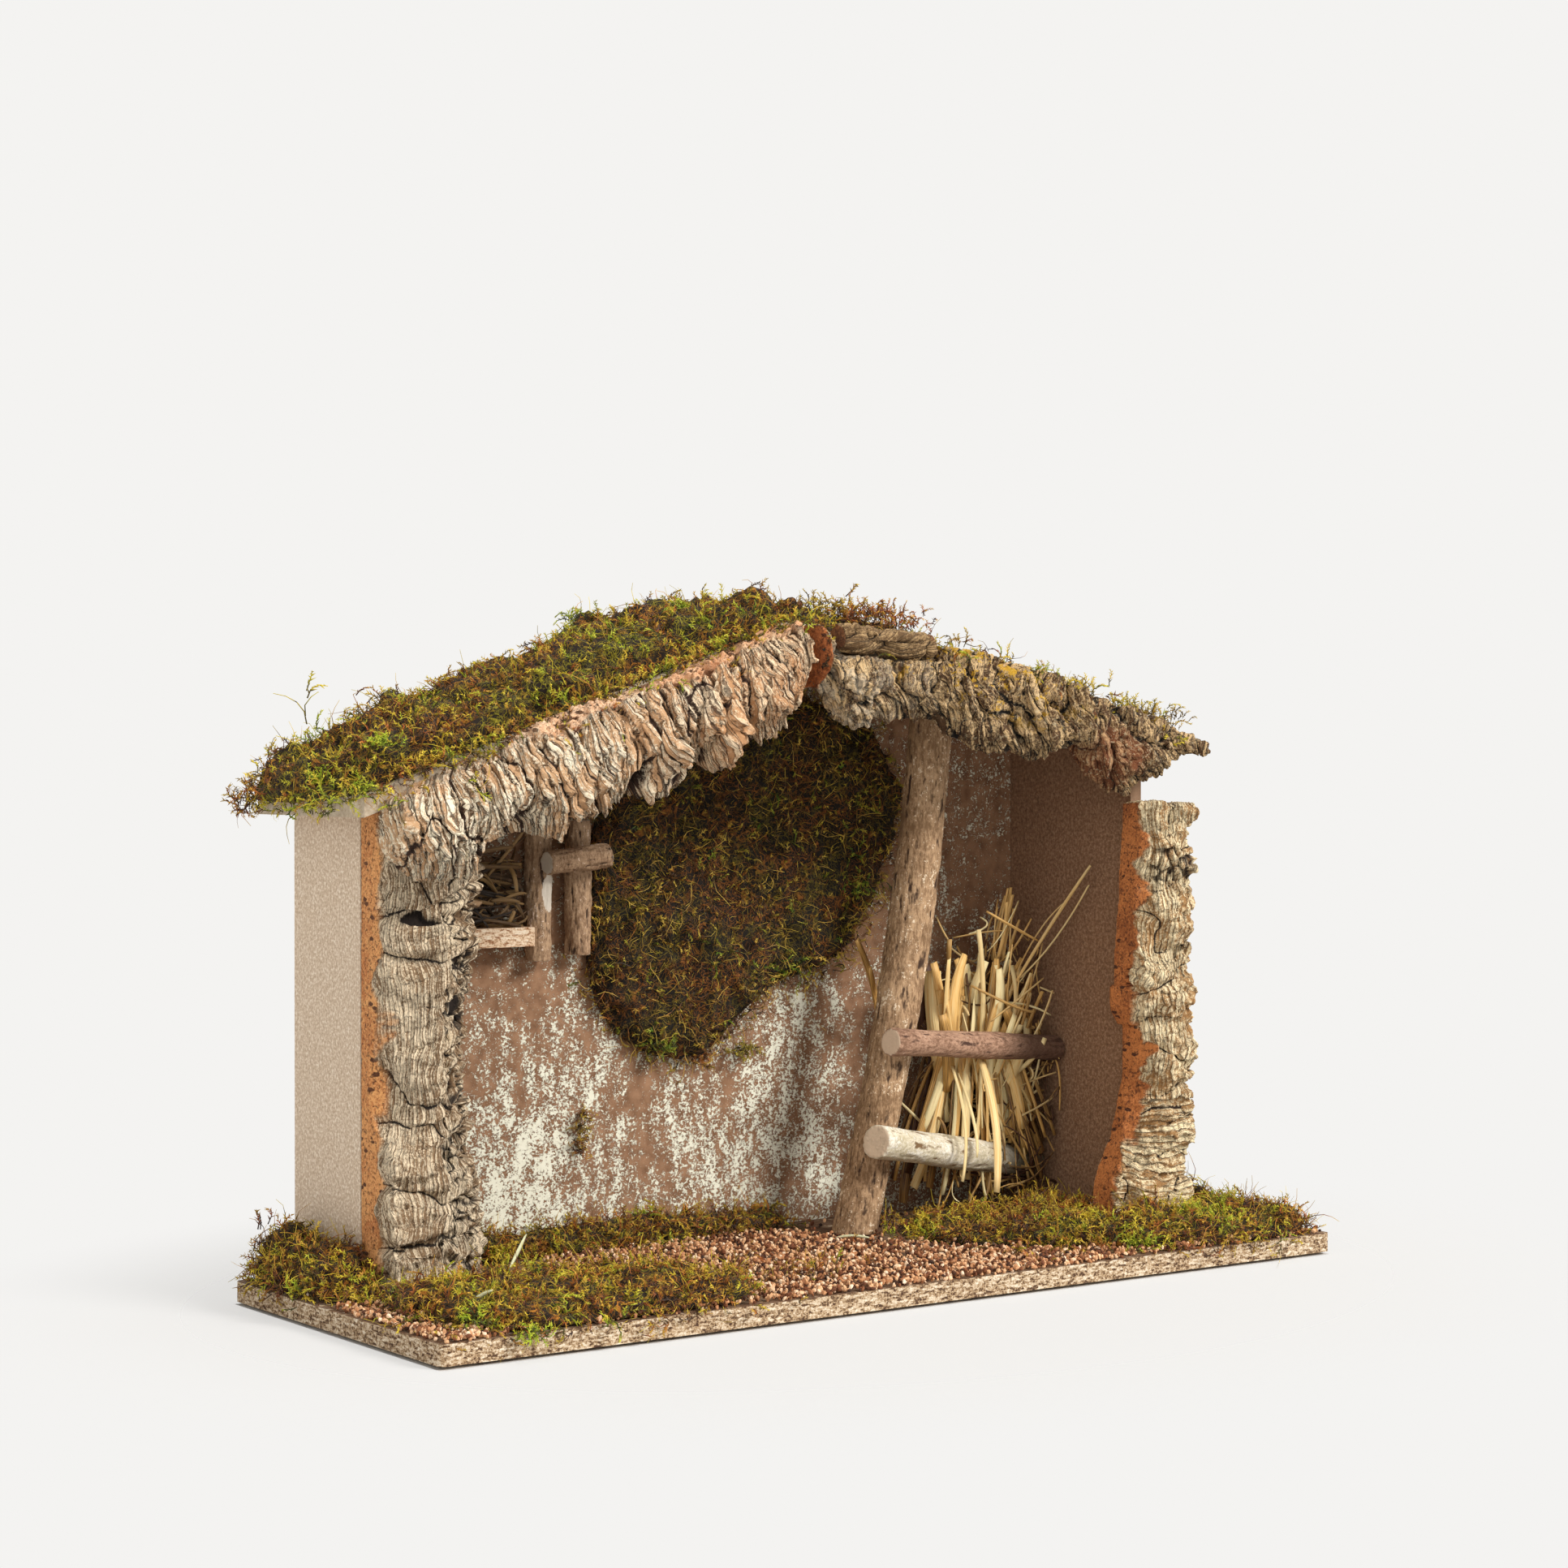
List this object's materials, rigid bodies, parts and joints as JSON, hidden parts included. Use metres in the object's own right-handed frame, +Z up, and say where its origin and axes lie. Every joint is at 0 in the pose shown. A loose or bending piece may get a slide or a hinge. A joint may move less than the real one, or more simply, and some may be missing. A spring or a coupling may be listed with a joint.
{
  "type": "cork nativity stable",
  "caption": "Open-fronted nativity stable: chipboard base, fibreboard walls, lopsided gable roof dressed with cork bark and moss, straw behind manger rails, small hay loft.",
  "frame": {"origin": "centre of the base board's underside", "axes": "+X to the right along the base's long side as seen from the open front, +Y to the back wall, +Z up"},
  "size_m": [0.5, 0.1895, 0.3208],
  "materials": {
    "base_chipboard": "raw chipboard with flaky sawn edges",
    "outer_fibreboard": "beige fibreboard with a fine sparkle",
    "brown_fibreboard": "brown, felt-like fibreboard",
    "painted_back_wall": "brown board, dry-brushed with off-white",
    "roof_fibreboard": "raw fibreboard",
    "pale_cork_bark": "pale virgin cork bark, deeply ridged",
    "dark_cork_bark": "grey-brown virgin cork bark with yellow lichen",
    "brown_cork_bark": "rolled brown cork bark",
    "grey_cork_bark": "grey virgin cork bark with an orange cut side",
    "cream_cork_bark": "cream virgin cork bark with an orange cut side",
    "post_wood": "grey-brown bark with pale scuffs",
    "upper_rail_wood": "pinkish brown bark, pale sawn end",
    "birch_rail_wood": "whitish birch-like bark, pale sawn end",
    "twig_wood": "brown-grey bark with peeled patches",
    "shelf_chipboard": "pale chipboard",
    "straw": "dry golden straw, softly glossy",
    "hay": "dark dry hay",
    "green_moss": "dried olive moss with rust brown and bright green strands",
    "brown_moss": "dried olive brown moss",
    "cork_granules": "coarse ground cork"
  },
  "bodies": {
    "root": {"base_board": "base_chipboard", "left_wall": "outer_fibreboard", "right_wall": "brown_fibreboard", "back_wall": "painted_back_wall", "roof_board_left": "roof_fibreboard", "roof_board_right": "roof_fibreboard", "fascia_bark_left": "pale_cork_bark", "fascia_bark_right": "dark_cork_bark", "ridge_bark_roll": "brown_cork_bark", "column_bark_left": "grey_cork_bark", "column_bark_right": "cream_cork_bark", "leaning_post": "post_wood", "manger_rail_upper": "upper_rail_wood", "manger_rail_lower": "birch_rail_wood", "straw_sheaf": "straw", "loft_shelf": "shelf_chipboard", "loft_post_left": "twig_wood", "loft_post_right": "twig_wood", "loft_lintel": "twig_wood", "loft_hay": "hay", "roof_moss_left": "green_moss", "roof_moss_right": "green_moss", "wall_moss": "brown_moss", "ground_moss_front_left": "green_moss", "ground_moss_left_end": "green_moss", "ground_moss_wall_foot": "green_moss", "ground_moss_manger": "green_moss", "ground_moss_front_right": "green_moss", "ground_moss_right_end": "green_moss", "cork_granules": "cork_granules"}
  },
  "joints": []
}
